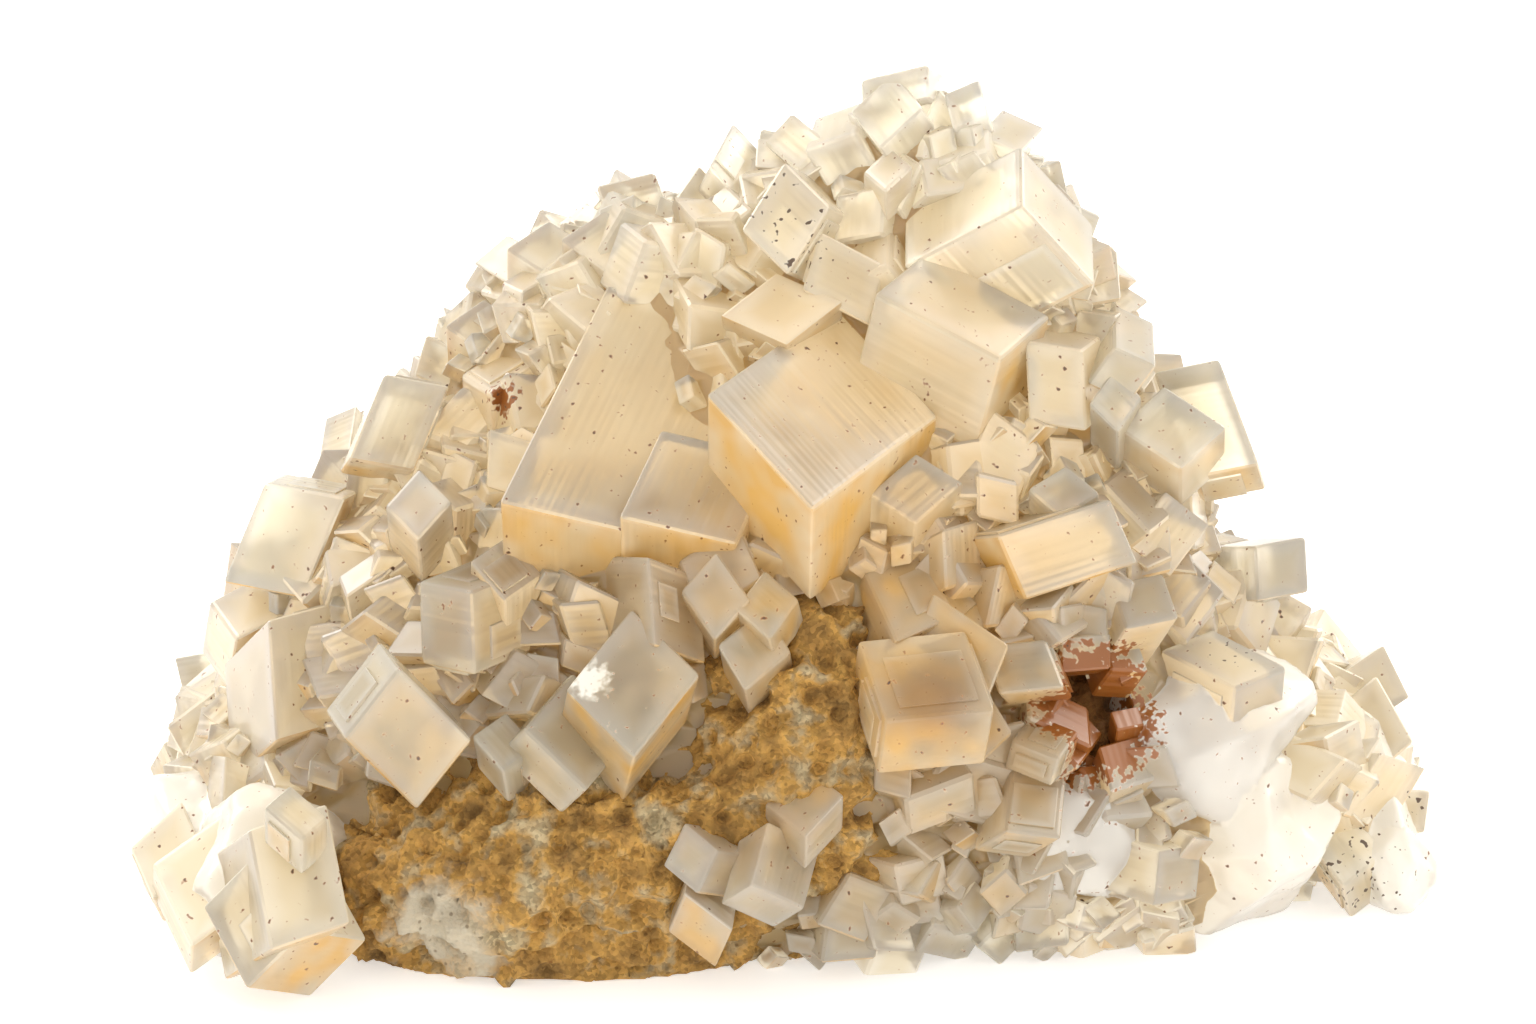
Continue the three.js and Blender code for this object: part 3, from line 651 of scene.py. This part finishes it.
# the ground of small druse: one crystal for every 5.2 square millimetres of the mound
DRUSE_AREA = 5.2
DRUSE_SIZE, DRUSE_SPREAD = 1.8, 3.8  # the smallest, and how much larger one can be, in millimetres
ground = mound_mesh(CRUST_LEVELS, CRUST_LUMPS, 96, 1.2)
ground.normal_update()
spare = 0.0
for face in ground.faces:
    spare += face.calc_area()
    while spare > DRUSE_AREA:
        spare -= DRUSE_AREA
        size = DRUSE_SIZE + DRUSE_SPREAD * chance() ** 1.6
        middle = face.calc_center_median() + Vector((chance(-1, 1), chance(-1, 1), chance(-1, 1)))
        middle -= face.normal * 0.22 * size
        axis = (chance(-180, 180), chance(15, 90), chance(-60, 60))
        edges = [size * chance(0.7, 1.25) for _ in range(3)]
        if on_bare_rock(middle, 0.3) or within(HOLLOWS, middle, -1.2) or middle.z < 0.5:
            continue
        if crowds_large(middle, 0.1 * size) or within(BARE_MASSES, middle, 0.3):
            continue
        corner = middle - middle_of((0, 0, 0), axis, edges)
        # a druse crystal's colour: half painted backlight glow, half a tone that differs at random
        painted_glow_and_tone = painted_backlight_glow(middle) * 0.5 + 0.5 * chance()
        crystals.append(rhomb(corner, axis, edges, 0.05 * size, painted_glow_and_tone, 1))

# the mound under the druse is uneven, and lies a little deeper than the druse's middles
GROUND_ROUGH, GROUND_DEEPER = 0.8, 0.8
for vertex in ground.verts:
    rough = noise.fractal(vertex.co * 0.35, 1.0, 2.2, 3, noise_basis="PERLIN_ORIGINAL")
    vertex.co += vertex.co.normalized() * (rough * GROUND_ROUGH - GROUND_DEEPER)
NO_CRYSTAL = [(0, 0, 0)] * 3
MASSIVE = (0.02, 0.02, 0.02)  # marks the massive calcite, in place of a crystal's half sizes
mark(ground, (0, 0, 0), NO_CRYSTAL, (0, 0, 0), painted_backlight_glow)
for face in ground.faces:
    face.smooth = True
crust = link_object("calcite_crystals", mesh_from(ground, "calcite_crystals"))


def lump(middle, radii, rough, flats=0):
    """A mass without crystal faces, uneven by rough millimetres and broken flat on some sides."""
    planes = []
    for _ in range(flats):
        normal = Vector((chance(-1, 1), chance(-1, 1), chance(-0.6, 1))).normalized()
        planes.append((normal, chance(0.72, 0.97)))
    bm = bmesh.new()
    bmesh.ops.create_icosphere(bm, subdivisions=5 if flats else 4, radius=1)
    for vertex in bm.verts:
        way = vertex.co.normalized()
        reach = min([1.1] + [far / way.dot(normal) for normal, far in planes if way.dot(normal) > 0.3])
        at = Vector([m + w * r * reach for m, w, r in zip(middle, way, radii)])
        swell = noise.fractal(at * 0.22, 1.0, 2.2, 5, noise_basis="PERLIN_ORIGINAL")
        vertex.co = at + way * swell * rough
    for face in bm.faces:
        face.smooth = True
    mark(bm, (0, 0, 0), NO_CRYSTAL, MASSIVE, lambda point: 1.0)
    return link_object("lump", mesh_from(bm, "lump"))


masses = [lump(middle, radii, 0.5, 16) for _, middle, radii in MASSIVE_CALCITE]  # 16 broken flats each
hollows = [lump(middle, radii, 0.8) for _, middle, radii in HOLLOWS]
joined(crust, masses)
joined(crust, hollows, "DIFFERENCE")
joined(crust, crystals)
joined(crust, [below_floor()], "DIFFERENCE")

# Calcite, as grown: milky and waxy inside, clearer towards the edges of each crystal, with honey iron
# stain on the faces that look down, faint growth lines along its edges and small dark specks of dirt.
# Light is painted into its colour as well: a shaded honey-grey in the thick heart of the specimen, a
# backlit pale at its thin ends, a painted highlight along the rims of each crystal and a painted white
# highlight on the lower left big crystal.
# Its refraction, 1.6, lies between the two of real calcite, 1.49 and 1.66.
calcite, tree, output = new_material("calcite_as_grown")


def near(middle, inner, outer):
    """1 within inner millimetres of a place in the tree that is being built, down to 0 at outer."""
    away = add(tree, "ShaderNodeVectorMath", {0: where, 1: middle}, operation="DISTANCE")
    return add(tree, "ShaderNodeMapRange", {"Value": away.outputs["Value"], "From Min": outer,
                                            "From Max": inner}).outputs[0]


def near_any(places):
    """1 in any of some places, each a middle with its inner and outer reach, down to 0 outside them."""
    shares = [near(*place) for place in places]
    most = shares[0]
    for share in shares[1:]:
        most = add(tree, "ShaderNodeMath", {0: most, 1: share}, operation="MAXIMUM").outputs[0]
    return most


place = add(tree, "ShaderNodeTexCoord")
in_mm = add(tree, "ShaderNodeVectorMath", {0: place.outputs["Object"], 3: 1 / MM}, operation="SCALE")
where = in_mm.outputs[0]
middle = add(tree, "ShaderNodeAttribute", attribute_name="middle")
half = add(tree, "ShaderNodeAttribute", attribute_name="half")
from_middle = add(tree, "ShaderNodeVectorMath", {0: where, 1: middle.outputs["Vector"]},
                  operation="SUBTRACT")
along = []
for name in ("along_a", "along_b", "along_c"):
    way = add(tree, "ShaderNodeAttribute", attribute_name=name)
    along.append(add(tree, "ShaderNodeVectorMath", {0: from_middle.outputs[0], 1: way.outputs["Vector"]},
                     operation="DOT_PRODUCT").outputs["Value"])
lattice = add(tree, "ShaderNodeCombineXYZ", {"X": along[0], "Y": along[1], "Z": along[2]})
painted_glow_and_tone = add(tree, "ShaderNodeAttribute", attribute_name="painted_glow_and_tone")
size_of = add(tree, "ShaderNodeVectorMath", {0: lattice.outputs[0]}, operation="ABSOLUTE")
depth = add(tree, "ShaderNodeVectorMath", {0: half.outputs["Vector"], 1: size_of.outputs[0]},
            operation="SUBTRACT")
depths = add(tree, "ShaderNodeSeparateXYZ", {0: depth.outputs[0]})
dx, dy, dz = depths.outputs
low = add(tree, "ShaderNodeMath", {0: dx, 1: dy}, operation="MINIMUM")
lowest = add(tree, "ShaderNodeMath", {0: low.outputs[0], 1: dz}, operation="MINIMUM")
high = add(tree, "ShaderNodeMath", {0: dx, 1: dy}, operation="MAXIMUM")
highest = add(tree, "ShaderNodeMath", {0: high.outputs[0], 1: dz}, operation="MAXIMUM")
total = add(tree, "ShaderNodeVectorMath", {0: depth.outputs[0], 1: (1, 1, 1)}, operation="DOT_PRODUCT")
middle_depth = add(tree, "ShaderNodeMath", {0: total.outputs["Value"], 1: lowest.outputs[0]},
                   operation="SUBTRACT")
to_edge = add(tree, "ShaderNodeMath", {0: middle_depth.outputs[0], 1: highest.outputs[0]},
              operation="SUBTRACT")  # millimetres to the nearest edge of this face
halves = add(tree, "ShaderNodeSeparateXYZ", {0: half.outputs["Vector"]})
shortest = add(tree, "ShaderNodeMath", {0: halves.outputs["X"], 1: halves.outputs["Y"]},
               operation="MINIMUM")
shortest = add(tree, "ShaderNodeMath", {0: shortest.outputs[0], 1: halves.outputs["Z"]},
               operation="MINIMUM")
rim_width = add(tree, "ShaderNodeMath", {0: shortest.outputs[0], 1: 0.2, 2: 0.3},
                operation="MULTIPLY_ADD")
own = add(tree, "ShaderNodeTexWhiteNoise", {"Vector": middle.outputs["Vector"]})
own = add(tree, "ShaderNodeSeparateColor", {0: own.outputs["Color"]})
own_stain, own_cloud, own_shade = own.outputs  # each crystal differs a little from the next
clouds = add(tree, "ShaderNodeTexNoise", {"Vector": where, "Scale": 0.25, "Detail": 1, "Roughness": 0.5})
ragged_edge = add(tree, "ShaderNodeMath", {0: to_edge.outputs[0], 1: rim_width.outputs[0]},
                  operation="DIVIDE")
ragged_edge = add(tree, "ShaderNodeMath", {0: clouds.outputs["Fac"], 1: -0.8, 2: ragged_edge.outputs[0]},
                  operation="MULTIPLY_ADD")
rim = add(tree, "ShaderNodeMapRange", {"Value": ragged_edge.outputs[0], "From Min": 1.9, "From Max": -0.1},
          interpolation_type="SMOOTHSTEP")
# Painted light: the milky colour goes from a shaded honey-grey, painted in the thick heart of the specimen,
# to a backlit pale at its thin ends.
heart = add(tree, "ShaderNodeMix", {0: painted_glow_and_tone.outputs["Fac"], 6: linear("e3d3b0"), 7: linear("faf2da")},
            data_type="RGBA")
# the rims are paler: partly their clearer calcite, partly a painted highlight where the edges catch the
# light
rim_tone_and_highlight = add(tree, "ShaderNodeMix", {0: painted_glow_and_tone.outputs["Fac"], 6: linear("f7f0dc"), 7: linear("fefaf0")},
                data_type="RGBA")
milky = add(tree, "ShaderNodeMix", {0: rim.outputs[0], 6: heart.outputs[2], 7: rim_tone_and_highlight.outputs[2]},
            data_type="RGBA")
# the massive calcite, which has no lattice of its own here, is whiter and free of stain
in_crystal = add(tree, "ShaderNodeMath", {0: shortest.outputs[0], 1: 0.05}, operation="GREATER_THAN")
rim = add(tree, "ShaderNodeMath", {0: rim.outputs[0], 1: in_crystal.outputs[0]}, operation="MULTIPLY")
shade = add(tree, "ShaderNodeMapRange", {"Value": own_shade, "To Min": 0.9, "To Max": 1.06})
milky = add(tree, "ShaderNodeVectorMath", {0: milky.outputs[2], 3: shade.outputs[0]}, operation="SCALE")
is_massive = add(tree, "ShaderNodeMath", {0: shortest.outputs[0], 1: 0.01}, operation="GREATER_THAN")
between = add(tree, "ShaderNodeMix", {0: is_massive.outputs[0], 6: linear("e0c48c"), 7: linear("fbf8f0")},
              data_type="RGBA")
milky = add(tree, "ShaderNodeMix", {0: in_crystal.outputs[0], 6: between.outputs[2], 7: milky.outputs[0]},
            data_type="RGBA")
facing = add(tree, "ShaderNodeNewGeometry")
up = add(tree, "ShaderNodeSeparateXYZ", {0: facing.outputs["True Normal"]})
height = add(tree, "ShaderNodeSeparateXYZ", {0: where})
facing_down = add(tree, "ShaderNodeMapRange", {"Value": up.outputs["Z"], "From Min": 0.12,
                                               "From Max": -0.25})
stain_patch = add(tree, "ShaderNodeMapRange", {"Value": clouds.outputs["Fac"], "From Min": 0.3,
                                               "From Max": 0.65, "To Min": 0.25, "To Max": 0.95})
low_down = add(tree, "ShaderNodeMapRange", {"Value": height.outputs["Z"], "From Min": 66.0,
                                            "From Max": 46.0})
stain = add(tree, "ShaderNodeMath", {0: facing_down.outputs[0], 1: stain_patch.outputs[0]},
            operation="MULTIPLY")
stain = add(tree, "ShaderNodeMath", {0: stain.outputs[0], 1: low_down.outputs[0]}, operation="MULTIPLY")
own_share = add(tree, "ShaderNodeMapRange", {"Value": own_stain, "From Min": 0.35, "From Max": 0.9,
                                             "To Min": 0.1, "To Max": 0.9})
is_large = add(tree, "ShaderNodeMapRange", {"Value": shortest.outputs[0], "From Min": 2.4,
                                            "From Max": 3.0})
own_share = add(tree, "ShaderNodeMath", {0: own_share.outputs[0], 1: is_large.outputs[0]},
                operation="MAXIMUM")
stain = add(tree, "ShaderNodeMath", {0: stain.outputs[0], 1: own_share.outputs[0]}, operation="MULTIPLY")
near_rock = near((8, -28, 26), 8.0, 24.0)
soaked = add(tree, "ShaderNodeMath", {0: near_rock, 1: stain_patch.outputs[0]}, operation="MULTIPLY")
soaked = add(tree, "ShaderNodeMath", {0: soaked.outputs[0], 1: 0.85}, operation="MULTIPLY")
stain = add(tree, "ShaderNodeMath", {0: stain.outputs[0], 1: soaked.outputs[0]}, operation="MAXIMUM")
stain = add(tree, "ShaderNodeMath", {0: stain.outputs[0], 1: in_crystal.outputs[0]}, operation="MULTIPLY")
stained = add(tree, "ShaderNodeMix", {0: stain.outputs[0], 6: milky.outputs[2], 7: linear("e0b05a")},
              data_type="RGBA")
deep_honey = add(tree, "ShaderNodeMath", {0: near((12.2, -32.8, 26.2), 1.5, 5.5), 1: 0.8},
                 operation="MULTIPLY")
stained = add(tree, "ShaderNodeMix", {0: deep_honey.outputs[0], 6: stained.outputs[2], 7: linear("a87a3e")},
              data_type="RGBA")
# a painted white highlight on the lower left big crystal, rust where the crust meets the rock, and specks of
# dark dirt
fine_cloud = add(tree, "ShaderNodeTexNoise", {"Vector": where, "Scale": 1.5, "Detail": 1, "Roughness": 0.6})
# painted highlight: a white patch painted where the lower left big crystal glints
near_highlight = near((-15.8, -29.8, 26.8), 0.4, 3.0)
painted_highlight = add(tree, "ShaderNodeMath", {0: near_highlight, 1: fine_cloud.outputs["Fac"]}, operation="MULTIPLY")
painted_highlight = add(tree, "ShaderNodeMapRange", {"Value": painted_highlight.outputs[0], "From Min": 0.2, "From Max": 0.36,
                                          "To Max": 0.6})
pale = add(tree, "ShaderNodeMix", {0: painted_highlight.outputs[0], 6: stained.outputs[2], 7: linear("f4f2ec")},
           data_type="RGBA")
rust_places = near_any([((26.5, -24, 21.5), 4.0, 7.5), ((-23.5, -7, 43.5), 0.5, 2.5)])
rust_ragged = add(tree, "ShaderNodeMath", {0: rust_places, 1: 0.5, 2: fine_cloud.outputs["Fac"]},
                  operation="MULTIPLY_ADD")
rust = add(tree, "ShaderNodeMapRange", {"Value": rust_ragged.outputs[0], "From Min": 0.7,
                                        "From Max": 0.78})
rusted = add(tree, "ShaderNodeMix", {0: rust.outputs[0], 6: pale.outputs[2], 7: linear("94561c")},
             data_type="RGBA")
dirty = near_any([((38.8, -16.3, 23.5), 1.5, 4.0), ((50, -19, 3.5), 3.0, 7.0),
                  ((54.5, -11, 7.5), 2.5, 4.5), ((0.8, -7.7, 59.4), 4.0, 6.0),
                  ((-23.5, -7, 43.5), 1.0, 3.0)])
dirt = add(tree, "ShaderNodeMath", {0: dirty, 1: 0.12, 2: fine_cloud.outputs["Fac"]},
           operation="MULTIPLY_ADD")
speck = add(tree, "ShaderNodeMapRange", {"Value": dirt.outputs[0], "From Min": 0.76, "From Max": 0.8})
speckled = add(tree, "ShaderNodeMix", {0: speck.outputs[0], 6: rusted.outputs[2], 7: linear("57402a")},
               data_type="RGBA")
opaque = add(tree, "ShaderNodeMath", {0: speck.outputs[0], 1: painted_highlight.outputs[0]}, operation="ADD")
opaque = add(tree, "ShaderNodeMath", {0: opaque.outputs[0], 1: rust.outputs[0]}, operation="ADD")
# fine growth lines along one lattice direction
stretched = add(tree, "ShaderNodeVectorMath", {0: lattice.outputs[0], 1: (0.08, 1.8, 0.08)},
                operation="MULTIPLY")
growth_lines = add(tree, "ShaderNodeTexNoise", {"Vector": stretched.outputs[0], "Scale": 1.0, "Detail": 0})
uneven = add(tree, "ShaderNodeBump", {"Strength": 0.35, "Distance": 0.0003,
                                      "Height": growth_lines.outputs["Fac"]})
# Light goes through the face, except where it is stained or milky, and where the specks, the rust and the
# painted highlight make it opaque.
small = add(tree, "ShaderNodeMapRange", {"Value": shortest.outputs[0], "From Min": 2.8, "From Max": 1.0})
thin = add(tree, "ShaderNodeMath", {0: small.outputs[0], 1: in_crystal.outputs[0]}, operation="MULTIPLY")
clearer = add(tree, "ShaderNodeMath", {0: thin.outputs[0], 1: rim.outputs[0]}, operation="MAXIMUM")
cloudy = add(tree, "ShaderNodeMapRange", {"Value": clouds.outputs["Fac"], "From Min": 0.3, "From Max": 0.7,
                                          "To Min": 0.36, "To Max": 0.54})
own_milk = add(tree, "ShaderNodeMath", {0: own_cloud, 1: 0.16, 2: -0.08}, operation="MULTIPLY_ADD")
cloudy = add(tree, "ShaderNodeMath", {0: cloudy.outputs[0], 1: own_milk.outputs[0]}, operation="ADD")
milkiness = add(tree, "ShaderNodeMix", {0: clearer.outputs[0], 2: cloudy.outputs[0], 3: 0.35})
dull = add(tree, "ShaderNodeMath", {0: stain.outputs[0], 1: 0.35, 2: milkiness.outputs[0]},
           operation="MULTIPLY_ADD")
packed = add(tree, "ShaderNodeMath", {0: is_massive.outputs[0], 1: in_crystal.outputs[0]},
             operation="SUBTRACT")
dull = add(tree, "ShaderNodeMath", {0: packed.outputs[0], 1: 0.2, 2: dull.outputs[0]},
           operation="MULTIPLY_ADD")
outward = add(tree, "ShaderNodeMath", {0: 1.0, 1: facing.outputs["Backfacing"]}, operation="SUBTRACT")
dull = add(tree, "ShaderNodeMath", {0: dull.outputs[0], 1: opaque.outputs[0]}, operation="ADD",
           use_clamp=True)
dull = add(tree, "ShaderNodeMath", {0: dull.outputs[0], 1: outward.outputs[0]}, operation="MULTIPLY")
clearness = add(tree, "ShaderNodeMath", {0: 1.0, 1: dull.outputs[0]}, operation="SUBTRACT")
surface = add(tree, "ShaderNodeBsdfPrincipled", {
    "Base Color": speckled.outputs[2], "Roughness": 0.4, "IOR": 1.6, "Normal": uneven.outputs[0],
    "Transmission Weight": clearness.outputs[0], "Coat Weight": 0.4, "Coat Roughness": 0.12,
    "Coat IOR": 1.5})
tree.links.new(surface.outputs[0], output.inputs["Surface"])
honey = add(tree, "ShaderNodeVolumeAbsorption", {"Color": linear("f0d898"), "Density": 26.0})
tree.links.new(honey.outputs[0], output.inputs["Volume"])
crust.data.materials.clear()
crust.data.materials.append(calcite)
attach(crust, "root")
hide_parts("calcite_crust")


# The lower cluster
# Two small crystals on the bare rock, apart from the crust, with white druse at their foot.

LOWER_CLUSTER = [
    ("upper", (2, -36, 15.5), (-172, 64, 36), (-5, -4, 6)),
    ("lower", (-2.5, -38, 12), (147, 66, -2), (4, -7, 6)),
    ("druse 1", (-7, -36.5, 10.5), (-60, 50, 20), (-4, 4, -4)),
    ("druse 2", (-4, -37, 7.5), (20, 70, -30), (-5, 4, -5)),
]
# their colour is painted 0.6 of the way from the shaded heart to the backlit pale
pieces = [rhomb(corner, axis, edges, 0.25, 0.6) for _, corner, axis, edges in LOWER_CLUSTER]
cluster = pieces[0]
cluster.name = "lower_cluster_crystals"
joined(cluster, pieces[1:])
cluster.data.materials.clear()
cluster.data.materials.append(calcite)
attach(cluster, "root")
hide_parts("lower_crystal_cluster")
